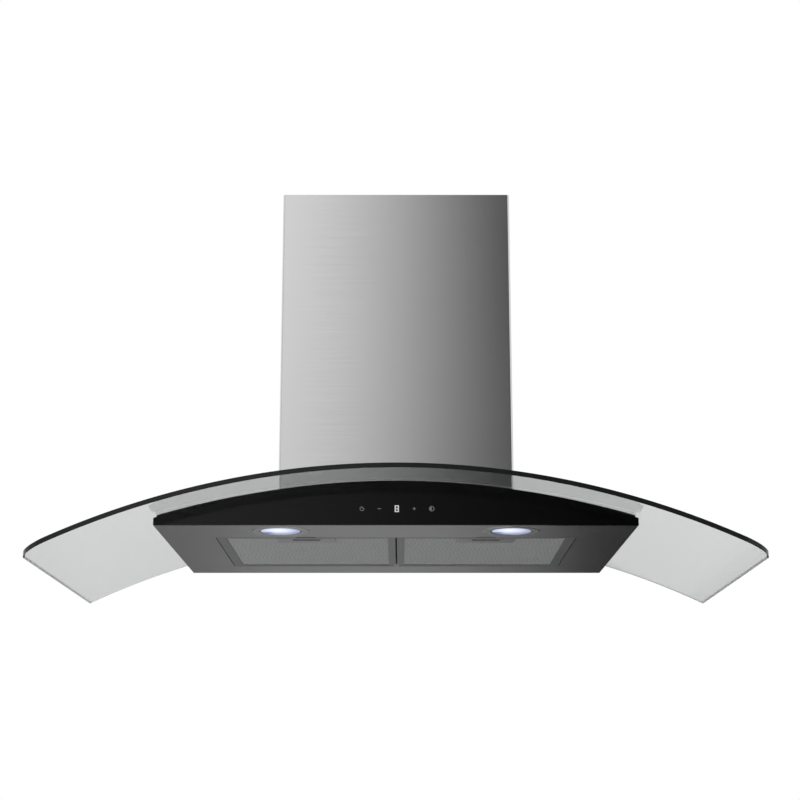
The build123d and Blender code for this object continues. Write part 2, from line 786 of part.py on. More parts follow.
# Its screws go in from inside, so that they leave the sides smooth for the lower cover.
with BuildPart() as bracket_screws:
    for side, sign in SIDES:
        tip = Plane(
            origin=(sign * upper_half_w, *bracket_screw_at[1:]),
            z_dir=(-sign, 0, 0),
        )
        with BuildSketch(tip):
            Circle(cover_screw_r)
        extrude(amount=sheet + strip_t)
        with BuildSketch(tip.offset(sheet + strip_t)):
            Circle(2 * cover_screw_r)
        extrude(amount=2)
bracket_screws.part.label = "bracket_screws"
export_step(bracket_screws.part, "parts/bracket_screws.step")

# Clips between the motor box and the lower cover
cover_inner_x = chimney_w / 2 - sheet
with BuildPart() as chimney_clips:
    for side, sign in SIDES:
        with BuildSketch(Plane.XZ.offset(-clip_y)):
            with BuildLine():
                Polyline(
                    (sign * (box_w + clamp_t) / 2, clip_z + clip_h),
                    (sign * (box_w + clamp_t) / 2, clip_z),
                    (sign * (cover_inner_x - clamp_t / 2), clip_z),
                    (sign * (cover_inner_x - clamp_t / 2), clip_z + clip_h),
                )
            trace(line_width=clamp_t)
        extrude(amount=clip_w)
    with Locations(Location(cover_screw_at, (0, 90, 0))):
        Cylinder(cover_screw_r, 2 * chimney_w, mode=Mode.SUBTRACT)
    for side, sign in SIDES:
        for y in (clip_y - clip_w, clip_y - 10):
            span(
                sorted((sign * box_w / 2, sign * (box_w / 2 + clamp_t))),
                (y, y + 10),
                (clip_z + clip_h, clip_z + clip_h + 6),
            )
chimney_clips.part.label = "chimney_clips"
export_step(chimney_clips.part, "parts/chimney_clips.step")

# Pan-head screws through the lower cover's sides into the clips
with BuildPart() as cover_screws:
    for side, sign in SIDES:
        shank = Plane(
            origin=(sign * (cover_inner_x - clamp_t), *cover_screw_at[1:]),
            z_dir=(sign, 0, 0),
        )
        with BuildSketch(shank):
            Circle(cover_screw_r)
        extrude(amount=clamp_t + sheet)
        with BuildSketch(shank.offset(clamp_t + sheet)):
            Circle(2 * cover_screw_r)
        extrude(amount=2)
    fillet(cover_screws.edges().group_by(Axis.X)[0], 1)
    fillet(cover_screws.edges().group_by(Axis.X)[-1], 1)
cover_screws.part.label = "cover_screws"
export_step(cover_screws.part, "parts/cover_screws.step")

# Lamps
lens_r = 25.0
bezel_t = 0.8
lens_drop = 0.5
lens_rim_r = 27.5
collar_out_r = lamp_hole_r - 0.2
collar_in_r = lamp_hole_r - 1.4
collar_top = 9.0
key_w = 4.0
led_ring_r = 14.0
led_size = 3.5
led_z = 7.4
can_r = 29.0
can_wall = 3.0
can_z = (2.0, 10.0, 14.0, 24.0)
fin_r = 25.0
fin_pitch = 6.0
fin_t = 1.6
for side, sign in SIDES:
    lamp_plane = Plane(origin=(sign * lamp_x, lamp_y, 0), x_dir=(1, 0, 0), z_dir=(0, -1, 0))
    with BuildPart() as lamp_bezel:
        with BuildSketch(lamp_plane):
            with BuildLine():
                Polyline(
                    (lens_r, -bezel_t + 0.4),
                    (lens_r + 0.8, -bezel_t),
                    (lamp_r - 1.0, -bezel_t),
                    (lamp_r, -0.4),
                    (lamp_r, 0),
                    (collar_out_r, 0),
                    (collar_out_r, collar_top),
                    (collar_in_r, collar_top),
                    (collar_in_r, 0),
                    (lens_r, 0),
                    (lens_r, -bezel_t + 0.4),
                )
            make_face()
        revolve(axis=Axis((sign * lamp_x, lamp_y, 0), (0, 0, 1)), revolution_arc=360)
        with Locations((sign * lamp_x, lamp_y, -bezel_t)):
            for turn in (-1, 1):
                with Locations((turn * (lens_r + 0.6), 0, 0)):
                    Box(key_w, key_w, 2 * bezel_t, mode=Mode.SUBTRACT)
    lamp_bezel.part.label = f"lamp_bezel_{side}"
    export_step(lamp_bezel.part, f"parts/lamp_bezel_{side}.step")

    with BuildPart() as lamp_lens:
        with Locations((sign * lamp_x, lamp_y, 0)):
            Cylinder(lens_rim_r, 2, align=ON_BASE)
        with Locations((sign * lamp_x, lamp_y, -lens_drop)):
            Cylinder(lens_r - 0.3, lens_drop, align=ON_BASE)
        fillet(lamp_lens.edges().group_by(Axis.Z)[0], 0.4)
    lamp_lens.part.label = f"lamp_lens_{side}"
    export_step(lamp_lens.part, f"parts/lamp_lens_{side}.step")

    with BuildPart() as led_board:
        with Locations((sign * lamp_x, lamp_y, can_z[1] - board_t)):
            Cylinder(can_r - can_wall, board_t, align=ON_BASE)
        with BuildSketch(Plane.XY.offset(led_z)):
            with Locations((sign * lamp_x, lamp_y)):
                with PolarLocations(led_ring_r, 6):
                    Rectangle(led_size, led_size)
        extrude(amount=can_z[1] - board_t - led_z)
    led_board.part.label = f"led_board_{side}"
    export_step(led_board.part, f"parts/led_board_{side}.step")

    # The can is the lamp's heat sink: a cup over the board with straight fins on its back.
    with BuildPart() as lamp_can:
        with Locations((sign * lamp_x, lamp_y, can_z[0])):
            Cylinder(can_r, can_z[2] - can_z[0], align=ON_BASE)
            Cylinder(can_r - can_wall, can_z[1] - can_z[0], align=ON_BASE, mode=Mode.SUBTRACT)
        for step in range(-4, 5):
            fin_x = sign * lamp_x + step * fin_pitch
            reach = sqrt(fin_r**2 - (step * fin_pitch) ** 2)
            span((fin_x - fin_t / 2, fin_x + fin_t / 2), (lamp_y - reach, lamp_y + reach), can_z[2:])
    lamp_can.part.label = f"lamp_can_{side}"
    export_step(lamp_can.part, f"parts/lamp_can_{side}.step")

# Each lamp is held by two leaf springs that press on the panel from above.
spring_t = 0.6
spring_w = 10.0
spring_path = (
    (collar_out_r + spring_t / 2, 8.5),
    (lamp_hole_r + 4, 9.5),
    (lamp_hole_r + 14, sheet + 0.6),
    (lamp_hole_r + 19, sheet + 2.5),
)
with BuildPart() as lamp_springs:
    for side, sign in SIDES:
        for turn in (-1, 1):
            with BuildSketch(Plane.XZ.offset(-lamp_y - spring_w / 2)):
                with BuildLine():
                    Polyline(*[(sign * lamp_x + turn * out, z) for out, z in spring_path])
                trace(line_width=spring_t)
            extrude(amount=spring_w)
lamp_springs.part.label = "lamp_springs"
export_step(lamp_springs.part, "parts/lamp_springs.step")

# Grease filters
# Each filter is an aluminium channel frame round a pack of mesh, hinged at its rear edge. The
# rear corner next to the other filter is notched for the hanger that takes both inner pins.
frame_wall = 1.0
frame_lip = 12.0
inner_lip = 9.5
end_lip = 6.0
notch_w = 5.0
notch_l = 14.0
pack_gap = 1.0
case_w = 60.0
case_l = 34.0
case_front = filter_front - frame_wall
cover_w = 75.0
cover_l = 34.0
cover_t = 0.8
slot_w = 36.0
slot_l = 10.0
slot_y = -311.0
finger_y = (-308.0, -306.5)
finger_w = 30.0
bar_z = (4.0, 6.5)
bar_w = 22.0
bar_front = 327.8
bar_back = 297.0
guide_y = ((-322.5, -316.5), (-301.0, -293.0))
guide_top = 3.9
rear_round = 0.9
mesh_t = 0.7
fold_t = 0.6
fold_count = 18
fold_margin = 16.0
case_wall = 0.8
case_h = 8.0
pin_end = 1.4


def filter_outline(plane, sign, inset):
    """Plan of a filter, drawn in by inset all round, with its notched inner rear corner."""
    inner_x = sign * (centre_gap / 2 + inset)
    outer_x = sign * (centre_gap / 2 + filter_w - inset)
    notch_x = inner_x + sign * notch_w
    front_y = -filter_front + inset
    rear_y = -filter_front + filter_l - inset
    with BuildSketch(plane) as outline:
        with BuildLine():
            Polyline(
                (inner_x, front_y),
                (outer_x, front_y),
                (outer_x, rear_y),
                (notch_x, rear_y),
                (notch_x, rear_y - notch_l),
                (inner_x, rear_y - notch_l),
                close=True,
            )
        make_face()
    return outline.sketch


for side, sign in SIDES:
    middle = sign * filter_x
    outer_face = sign * (centre_gap / 2 + filter_w)
    inner_face = sign * (centre_gap / 2 + notch_w)
    window_x = sorted((outer_face - sign * frame_lip, sign * (centre_gap / 2 + inner_lip)))
    window_y = (-filter_front + end_lip, -filter_front + filter_l - end_lip)

    with BuildPart() as filter_frame:
        add(filter_outline(Plane.XY, sign, 0))
        extrude(amount=filter_t)
        add(filter_outline(Plane.XY.offset(frame_wall), sign, frame_wall))
        extrude(amount=filter_t - 2 * frame_wall, mode=Mode.SUBTRACT)
        span(window_x, window_y, (0, filter_t), mode=Mode.SUBTRACT)
        latch_x = (middle - latch_w / 2, middle + latch_w / 2)
        span(latch_x, (-filter_front, -case_front), (3, latch_notch_h), mode=Mode.SUBTRACT)
        rear_edges = filter_frame.edges().filter_by(Axis.X).group_by(Axis.Y)[-1]
        fillet(rear_edges.group_by(Axis.Z)[0], rear_round)
    filter_frame.part.label = f"filter_frame_{side}"
    export_step(filter_frame.part, f"parts/filter_frame_{side}.step")

    # Two outer sheets with a folded one between them, cut away round the latch case.
    with BuildPart() as filter_mesh:
        for z in (frame_wall, filter_t - frame_wall - mesh_t):
            add(filter_outline(Plane.XY.offset(z), sign, frame_wall + pack_gap))
            extrude(amount=mesh_t)
        fold_z = (frame_wall + mesh_t, filter_t - frame_wall - mesh_t - fold_t)
        fold_x = middle - filter_w / 2 + fold_margin
        fold_pitch = (filter_w - 2 * fold_margin) / fold_count
        ridge = [
            (fold_x + step * fold_pitch / 2, fold_z[step % 2]) for step in range(2 * fold_count + 1)
        ]
        with BuildSketch(Plane.XZ.offset(filter_front - filter_l + notch_l + 4)):
            with BuildLine():
                Polyline(*ridge, *[(x, z + fold_t) for x, z in reversed(ridge)], close=True)
            make_face()
        extrude(amount=filter_l - notch_l - 8)
        case_x = (middle - case_w / 2 - 1, middle + case_w / 2 + 1)
        span(case_x, (-filter_front, -case_front + case_l + 1), (0, filter_t), mode=Mode.SUBTRACT)
    filter_mesh.part.label = f"filter_mesh_{side}"
    export_step(filter_mesh.part, f"parts/filter_mesh_{side}.step")

    with BuildPart() as filter_pins:
        pin_l = side_gap + sheet + pin_end
        for face, length in ((outer_face, sign * pin_l), (inner_face, -sign * (notch_w - 0.4))):
            ends = sorted((face, face + length))
            with Locations(Location((sum(ends) / 2, hinge_y, hinge_z), (0, 90, 0))):
                Cylinder(pin_r, ends[1] - ends[0])
    filter_pins.part.label = f"filter_pins_{side}"
    export_step(filter_pins.part, f"parts/filter_pins_{side}.step")

    # Latch: a pressed cover with a finger slot and a case behind it, and the bar inside.
    with BuildPart() as latch_case:
        across = (middle - case_w / 2, middle + case_w / 2)
        span(across, (-case_front, -case_front + case_l), (0, case_h))
        span(
            (across[0] + case_wall, across[1] - case_wall),
            (-case_front, -case_front + case_l - case_wall),
            (0, case_h - case_wall),
            mode=Mode.SUBTRACT,
        )
        span(
            across,
            (-filter_front, -filter_front + end_lip),
            (0, frame_wall),
            mode=Mode.SUBTRACT,
        )
        for ends in guide_y:
            span((across[0], middle - bar_w / 2 + 2), ends, (frame_wall, guide_top))
            span((middle + bar_w / 2 - 2, across[1]), ends, (frame_wall, guide_top))
    latch_case.part.label = f"latch_case_{side}"
    export_step(latch_case.part, f"parts/latch_case_{side}.step")

    with BuildPart() as latch_cover:
        with BuildSketch(Plane.XY.offset(-cover_t)):
            with Locations((middle, -filter_front + 1.5 + cover_l / 2)):
                RectangleRounded(cover_w, cover_l, 2)
            with Locations((middle, slot_y)):
                RectangleRounded(slot_w, slot_l, 2, mode=Mode.SUBTRACT)
        extrude(amount=cover_t)
    latch_cover.part.label = f"latch_cover_{side}"
    export_step(latch_cover.part, f"parts/latch_cover_{side}.step")

    with BuildPart() as latch_bar:
        span((middle - bar_w / 2, middle + bar_w / 2), (-bar_front, -bar_back), bar_z)
        chamfer(
            latch_bar.edges().filter_by(Axis.X).group_by(Axis.Y)[0].sort_by(Axis.Z)[-1], length=2
        )
        span((middle - finger_w / 2, middle + finger_w / 2), finger_y, (0.4, bar_z[0]))
    latch_bar.part.label = f"latch_bar_{side}"
    export_step(latch_bar.part, f"parts/latch_bar_{side}.step")

# The hanger stands on the opening's rear rim, between the filters, and takes both inner pins.
hanger_half_w = 4.2
hanger_wrap = 3.5
hanger_bottom = 1.2
with BuildPart() as filter_hanger:
    span((-hanger_half_w, hanger_half_w), (hinge_y - hanger_wrap, -opening_back), (hanger_bottom, rim_h))
    with Locations(Location((0, hinge_y, hinge_z), (0, 90, 0))):
        Cylinder(pin_r + running, 4 * hanger_half_w, mode=Mode.SUBTRACT)
filter_hanger.part.label = "filter_hanger"
export_step(filter_hanger.part, "parts/filter_hanger.step")
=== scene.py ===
"""Looks of a wall-mounted chimney hood with a bowed glass canopy, seen from below its front edge."""

from math import atan2, cos, hypot, pi, radians, sin, sqrt

import bmesh
import bpy
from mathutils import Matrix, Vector


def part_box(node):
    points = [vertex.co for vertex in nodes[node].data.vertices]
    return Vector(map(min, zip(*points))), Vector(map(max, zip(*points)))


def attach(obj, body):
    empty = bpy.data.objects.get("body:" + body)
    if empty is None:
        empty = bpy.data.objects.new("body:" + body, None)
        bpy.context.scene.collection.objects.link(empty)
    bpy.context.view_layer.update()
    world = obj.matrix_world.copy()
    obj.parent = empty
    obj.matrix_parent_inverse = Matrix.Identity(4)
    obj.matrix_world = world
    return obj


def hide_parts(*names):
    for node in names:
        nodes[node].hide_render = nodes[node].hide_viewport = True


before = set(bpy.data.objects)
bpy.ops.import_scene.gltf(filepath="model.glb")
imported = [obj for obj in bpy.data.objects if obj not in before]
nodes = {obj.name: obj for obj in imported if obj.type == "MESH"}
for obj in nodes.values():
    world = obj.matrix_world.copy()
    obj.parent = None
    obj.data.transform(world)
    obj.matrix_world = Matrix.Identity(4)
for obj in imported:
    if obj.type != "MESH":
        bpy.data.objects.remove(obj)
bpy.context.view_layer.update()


# Wall plate, 1.5 mm sheet steel that carries the whole hood on four wall screws.
# It is hot-dip zinc coated, so its skin shows frosty crystals of different greys.
# The same coil makes the body's hidden panels, the motor box and every bracket.
class Wire:
    """One output inside a finish. Arithmetic on it adds Math nodes."""

    def __init__(self, tree, socket):
        self.tree = tree
        self.socket = socket

    def __add__(self, other):
        return self.tree.math("ADD", self, other)

    def __mul__(self, other):
        return self.tree.math("MULTIPLY", self, other)

    def __sub__(self, other):
        return self.tree.math("SUBTRACT", self, other)

    def __rsub__(self, other):
        return self.tree.math("SUBTRACT", other, self)

    def __truediv__(self, other):
        return self.tree.math("DIVIDE", self, other)

    def __lt__(self, other):
        return self.tree.math("LESS_THAN", self, other)

    def __gt__(self, other):
        return self.tree.math("GREATER_THAN", self, other)

    __radd__ = __add__


class Finish:
    """The nodes of a material or of the world, added one by one."""

    def __init__(self, owner):
        owner.use_nodes = True
        self.owner = owner
        self.nodes = owner.node_tree.nodes
        self.links = owner.node_tree.links

    def node(self, kind, settings=None, values=None, output=0):
        made = self.nodes.new("ShaderNode" + kind)
        for name, setting in (settings or {}).items():
            if name == "stops":
                while len(made.color_ramp.elements) < len(setting):
                    made.color_ramp.elements.new(1)
                for element, (place, colour) in zip(made.color_ramp.elements, setting):
                    element.position = place
                    element.color = (*colour, 1)
            else:
                setattr(made, name, setting)
        for name, value in (values or {}).items():
            self.feed(made.inputs[name], value)
        return Wire(self, made.outputs[output])

    def feed(self, socket, value):
        if isinstance(value, Wire):
            self.links.new(value.socket, socket)
        elif socket.type == "RGBA":
            socket.default_value = (*value, 1)
        else:
            socket.default_value = value

    def math(self, operation, *values):
        return self.node("Math", {"operation": operation}, dict(enumerate(values)))

    def place(self, scale=(1, 1, 1)):
        """The point on the hood in metres, stretched by scale."""
        point = self.node("TexCoord", output="Object")
        return self.node("VectorMath", {"operation": "MULTIPLY"}, {0: point, 1: scale})

    def along(self, axis):
        return self.node("SeparateXYZ", values={0: self.place()}, output=axis)

    def noise(self, scale, detail=2.0, point=None):
        values = {"Vector": point or self.place(), "Scale": scale, "Detail": detail}
        return self.node("TexNoise", values=values)

    def blend(self, mask, first, second):
        values = {0: mask, 6: first, 7: second}
        return self.node("Mix", {"data_type": "RGBA"}, values, output=2)

    def bump(self, height, depth, strength=1.0):
        values = {"Height": height, "Distance": depth, "Strength": strength}
        return self.node("Bump", values=values)


def finish(name, **sockets):
    """A material on one Principled shader. An underscore in a socket's name stands for a space."""
    made = Finish(bpy.data.materials.new(name))
    coat(made, **sockets)
    return made


def coat(made, **sockets):
    shader = made.nodes["Principled BSDF"]
    for name, value in sockets.items():
        made.feed(shader.inputs[name.replace("_", " ")], value)


def dress(made, *names):
    for name in names:
        for held in nodes[name].material_slots:
            held.material = made.owner


zinc = finish("zinc_coated_sheet", Metallic=1.0)
crystal_size = 0.009
crystals = zinc.node(
    "TexVoronoi", values={"Vector": zinc.place(), "Scale": 1 / crystal_size}, output="Color"
)
crystal_tone = zinc.node("SeparateColor", values={0: crystals})
zinc_haze = zinc.noise(35, 4)
coat(
    zinc,
    Base_Color=zinc.blend(crystal_tone, (0.47, 0.48, 0.49), (0.62, 0.63, 0.64)),
    Roughness=0.34 + crystal_tone * 0.12 + zinc_haze * 0.14,
    Normal=zinc.bump(zinc.noise(900, 3) + crystal_tone, 0.00002),
)
dress(zinc, "back_plate")


# Body: a shallow box of folded sheet. The back, the arched top and the carrier of the
# front glass are zinc coated and spot welded. The panel that shows from below is stainless
# steel, brushed from side to side, with its front and side edges folded up.
def brushed_steel(name, brush):
    """Stainless steel. brush is large along the axes that cross the brush lines."""
    steel = finish(name, Metallic=1.0, Specular_Tint=(0.52, 0.52, 0.52))
    lines = steel.noise(1, 3, steel.place(brush))
    hairs = steel.noise(1, 2, steel.place([4 * scale for scale in brush]))
    rub = steel.noise(7, 3)
    coat(
        steel,
        Base_Color=steel.blend(lines * 0.7 + hairs * 0.3, (0.64, 0.645, 0.64), (0.76, 0.765, 0.76)),
        Roughness=0.24 + lines * 0.08 + rub * 0.06,
        Normal=steel.bump(lines + hairs * 0.5, 0.00001),
    )
    return steel


across_y = (7, 620, 620)
panel_steel = brushed_steel("steel_brushed_along_the_panel", across_y)
dress(zinc, "rear_panel", "top_panel", "fascia_carrier")
dress(panel_steel, "bottom_panel")


# Motor box: a zinc-coated sheet box on the wall plate. The blower sits in it, the electrics
# on its side and the duct collar on its top. The spider holds the motor in the left inlet.
dress(zinc, "motor_box", "motor_spider")


# Blower housing in two halves, the duct collar and its two backdraft flaps. They are moulded
# in black flame-retardant plastic with a fine spark-eroded texture.
black_plastic = finish("moulded_black_plastic", IOR=1.47)
mould_grain = black_plastic.noise(2600, 2)
mould_flow = black_plastic.noise(18, 3)
coat(
    black_plastic,
    Base_Color=black_plastic.blend(mould_flow, (0.016, 0.016, 0.017), (0.034, 0.034, 0.036)),
    Roughness=0.42 + mould_flow * 0.16,
    Normal=black_plastic.bump(mould_grain, 0.00005),
)
dress(black_plastic, "volute_left", "volute_right", "outlet_collar", "flap_front", "flap_rear")


# Fan wheel, moulded in pale grey plastic in one piece with its blades and hub.
# The electronics box, its lid and the run capacitor's can are the same grey.
grey_plastic = finish("moulded_grey_plastic", IOR=1.47)
grey_flow = grey_plastic.noise(24, 4)
coat(
    grey_plastic,
    Base_Color=grey_plastic.blend(grey_flow, (0.47, 0.48, 0.49), (0.60, 0.61, 0.62)),
    Roughness=0.38 + grey_flow * 0.15,
    Normal=grey_plastic.bump(grey_plastic.noise(1900, 2), 0.00004),
)
dress(grey_plastic, "impeller", "power_box", "power_lid", "capacitor")


# Motor: a pressed steel can round a stack of thin stamped sheets, and a rotor of the same
# sheets on a ground shaft. The sheets' edges show as fine lines round the stack.
motor_steel = finish("stamped_motor_steel", Metallic=1.0)
sheet_pitch = 0.0005
stack = motor_steel.math("FRACT", motor_steel.along("X") / sheet_pitch)
stack_line = stack < 0.2
oil = motor_steel.noise(60, 4)
coat(
    motor_steel,
    Base_Color=motor_steel.blend(stack_line * 0.5 + oil * 0.5, (0.42, 0.42, 0.43), (0.2, 0.2, 0.21)),
    Roughness=0.3 + oil * 0.25,
    Normal=motor_steel.bump(1 - stack_line, 0.00003),
)
dress(motor_steel, "motor_housing", "motor_stator", "motor_rotor")


# Motor bearings: two bushes pressed from bronze powder and soaked in oil. Their pores are
# open and show as dark specks. One sits in each end of the motor's can.
bronze = finish("sintered_bronze", Metallic=1.0)
pores = bronze.noise(3200, 2) > 0.62
coat(
    bronze,
    Base_Color=bronze.blend(pores, (0.58, 0.39, 0.18), (0.2, 0.12, 0.05)),
    Roughness=0.34 + pores * 0.3,
    Normal=bronze.bump(1 - pores, 0.00004),
)
dress(bronze, "motor_bushes")


# Shaft, screws, hinge pins and spring clips: turned or pressed steel, bright zinc plated.
# The plating is thin and lies evenly, so its grey clouds only a little.
plated = finish("bright_zinc_plating", Metallic=1.0)
plating = plated.noise(140, 4)
coat(
    plated,
    Base_Color=plated.blend(plating, (0.56, 0.56, 0.57), (0.72, 0.72, 0.71)),
    Roughness=0.2 + plating * 0.16,
    Normal=plated.bump(plated.noise(1500, 2), 0.00001),
)
dress(plated, "motor_shaft", "clamp_screws", "cover_screws", "bracket_screws", "flap_pins")
dress(plated, "filter_pins_left", "filter_pins_right", "lamp_springs")


# Circuit boards: glass fibre under green solder mask, with tinned tracks and pads.
# One drives the motor and lamps, one reads the touch keys, and one round board is in each lamp.
board = finish("green_circuit_board")
track_values = {
    "Vector": board.place(),
    "Scale": 150,
    "Row Height": 0.3,
    "Brick Width": 0.9,
    "Mortar Size": 0.03,
}
tracks = board.node("TexBrick", {"offset": 0.37}, track_values, output="Fac")
pads = board.noise(260, 0) > 0.68
coat(
    board,
    Base_Color=board.blend(
        pads,
        board.blend(tracks, (0.012, 0.10, 0.035), (0.02, 0.19, 0.07)),
        (0.62, 0.62, 0.60),
    ),
    Metallic=pads,
    Roughness=0.3 + tracks * 0.1,
    Normal=board.bump(tracks + pads, 0.00004),
)
dress(board, "power_board", "touch_board", "led_board_left", "led_board_right")


# Cable gland of the mains lead, moulded in the same black plastic as the blower housing.
# It sits in a hole in the top of the motor box.
dress(black_plastic, "cable_gland")


# Canopy: one sheet of 6 mm tempered glass, bent to a bow and ground round its outline. The
# front edge and its corners are polished. Their dark look is painted shade, an opaque
# near-black finish on those edge faces. The two side edges are matt.
# It lies on a rubber seal, and four brackets press it down through rubber pads.
glass_low, glass_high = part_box("canopy_glass")
glass_half = glass_high.x
glass_t = 0.006
glass_top_r = 1.050
glass_bow = 0.018
glass_corner_r = 0.035
notch_half = 0.130
notch_front = -0.267
notch_corner_r = 0.012
glass_centre_z = glass_high.z - glass_top_r
edge_round = 0.0009
dark_edge_reach = 0.12
strip_count = 120


def arc(centre, radius, first, last, steps):
    """Points on a circle in plan. Angles are in radians, from +X towards +Y."""
    turn = [first + (last - first) * step / steps for step in range(steps + 1)]
    return [(centre[0] + radius * cos(a), centre[1] + radius * sin(a)) for a in turn]


def canopy_outline():
    """The sheet in plan, from the middle of the front edge round to its mirror image."""
    front_r = (glass_half**2 + glass_bow**2) / (2 * glass_bow)
    front_at = (0, glass_low.y + front_r)
    corner_x = glass_half - glass_corner_r
    corner_y = front_at[1] - sqrt((front_r - glass_corner_r) ** 2 - corner_x**2)
    meet = atan2(corner_y - front_at[1], corner_x)
    half = arc(front_at, front_r, -pi / 2, meet, 60)
    half += arc((corner_x, corner_y), glass_corner_r, meet, 0, 16)[1:]
    half += [(glass_half, glass_high.y), (notch_half, glass_high.y)]
    notch_at = (notch_half - notch_corner_r, notch_front + notch_corner_r)
    half += arc(notch_at, notch_corner_r, 0, -pi / 2, 6)
    return half + [(-x, y) for x, y in reversed(half)][:-1]


def glass_z(x, radius):
    return glass_centre_z + sqrt(radius**2 - x**2)


def solid_piece(name, bm, *finishes):
    """An object with smooth faces, made from a finished bmesh."""
    bmesh.ops.recalc_face_normals(bm, faces=bm.faces)
    mesh = bpy.data.meshes.new(name)
    bm.to_mesh(mesh)
    bm.free()
    mesh.shade_smooth()
    for made in finishes:
        mesh.materials.append(made.owner)
    piece = bpy.data.objects.new(name, mesh)
    bpy.context.scene.collection.objects.link(piece)
    return piece


clear_glass = finish("clear_glass", Transmission_Weight=1.0, IOR=1.5)
wiped = clear_glass.noise(9, 3)
coat(
    clear_glass,
    Base_Color=clear_glass.blend(wiped, (0.87, 0.885, 0.885), (0.89, 0.905, 0.905)),
    Roughness=wiped * 0.012,
)
# Painted shade: the front edge and its corners get an opaque near-black finish for the dark look of
# polished glass edges.
edge_painted_dark = finish("polished_edge_painted_dark", IOR=1.5, Specular_IOR_Level=0.2)
edge_shade_tone = edge_painted_dark.noise(60, 3)
coat(
    edge_painted_dark,
    Base_Color=edge_painted_dark.blend(edge_shade_tone, (0.006, 0.007, 0.007), (0.014, 0.015, 0.015)),
    Roughness=0.1 + edge_shade_tone * 0.12,
)
side_edge = finish("ground_glass_edge", Transmission_Weight=1.0, IOR=1.5)
grinding = side_edge.noise(700, 2)
coat(
    side_edge,
    Base_Color=side_edge.blend(grinding, (0.90, 0.92, 0.92), (0.95, 0.97, 0.97)),
    Roughness=0.6 + grinding * 0.2,
)
bm = bmesh.new()
bm.faces.new([bm.verts.new((x, y, 0)) for x, y in canopy_outline()])
for strip in range(1, strip_count):
    cut_x = glass_half * (2 * strip / strip_count - 1)
    parts = bm.verts[:] + bm.edges[:] + bm.faces[:]
    bmesh.ops.bisect_plane(bm, geom=parts, dist=1e-6, plane_co=(cut_x, 0, 0), plane_no=(1, 0, 0))
raised = bmesh.ops.extrude_face_region(bm, geom=bm.faces[:])["geom"]
upper = {part for part in raised if isinstance(part, bmesh.types.BMVert)}
for vert in bm.verts:
    vert.co.z = glass_z(vert.co.x, glass_top_r if vert in upper else glass_top_r - glass_t)
for face in bm.faces:
    middle = face.calc_center_median()
    tall = len({vert in upper for vert in face.verts}) == 2
    at_front = middle.y < glass_low.y + dark_edge_reach
    if tall and abs(middle.x) > glass_half - 1e-5:
        face.material_index = 2
    elif tall and at_front:
        face.material_index = 1
canopy = solid_piece("canopy_sheet", bm, clear_glass, edge_painted_dark, side_edge)
rounding = canopy.modifiers.new("ground_edge", "BEVEL")
rounding.width = edge_round
rounding.segments = 3
rounding.limit_method = "ANGLE"
rounding.angle_limit = radians(50)
rounding.harden_normals = True
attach(canopy, "hood")
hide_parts("canopy_glass")

rubber = finish("black_rubber", IOR=1.5)
bloom = rubber.noise(90, 4)
coat(
    rubber,
    Base_Color=rubber.blend(bloom, (0.015, 0.015, 0.015), (0.035, 0.035, 0.034)),
    Roughness=0.66 + bloom * 0.2,
    Normal=rubber.bump(rubber.noise(1700, 2), 0.00006),
)
dress(rubber, "canopy_seal", "glass_pads")
dress(zinc, "glass_clamps")


# Front glass: flat 4 mm glass with black ceramic print baked on its back, glued to the
# carrier. The touch board stands behind it in a moulded housing.
black_glass = finish("black_printed_glass", IOR=1.5, Specular_IOR_Level=0.22)
smear = black_glass.noise(11, 4)
coat(
    black_glass,
    Base_Color=black_glass.blend(smear, (0.0006, 0.0006, 0.0007), (0.0014, 0.0015, 0.0015)),
    Roughness=0.07 + smear * 0.06,
)
dress(black_glass, "fascia_glass")
dress(black_plastic, "control_tray")


# Touch symbols: clear windows in the black print, lit by small lamps on the touch board.
# From left to right they are on and off, less, the speed shown as a digit, more, and light.
fascia_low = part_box("fascia_glass")[0]
symbol_z = 0.0205
symbol_pitch = 0.0215
symbol_middle = 0.0011
symbol_depth = 0.0002
symbol_line = 0.0008


def window(bm, outline, at_x):
    """A flat lit window on the front of the glass. outline holds its corners round (at_x, symbol_z)."""
    middle = symbol_middle + at_x
    front = [bm.verts.new((middle + x, fascia_low.y - symbol_depth / 2, symbol_z + z)) for x, z in outline]
    back = [bm.verts.new((vert.co.x, fascia_low.y + symbol_depth / 2, vert.co.z)) for vert in front]
    bm.faces.new(front)
    bm.faces.new(back[::-1])
    for step in range(len(front)):
        after = (step + 1) % len(front)
        bm.faces.new((front[step], back[step], back[after], front[after]))


def bar(x, z, width, height):
    return [
        (x - width / 2, z - height / 2),
        (x + width / 2, z - height / 2),
        (x + width / 2, z + height / 2),
        (x - width / 2, z + height / 2),
    ]


def ring(radius, line, first, last, steps=28):
    """A curved stroke. Angles are in degrees from +X towards +Z."""
    outer = arc((0, 0), radius, radians(first), radians(last), steps)
    inner = arc((0, 0), radius - line, radians(last), radians(first), steps)
    return outer + inner


def lit(name, strength):
    made = finish(name, Roughness=0.2, Emission_Strength=strength)
    glow = made.noise(900, 2)
    coat(
        made,
        Base_Color=made.blend(glow, (0.04, 0.04, 0.04), (0.08, 0.08, 0.08)),
        Emission_Color=made.blend(glow, (0.86, 0.88, 0.9), (1.0, 1.0, 1.0)),
    )
    return made


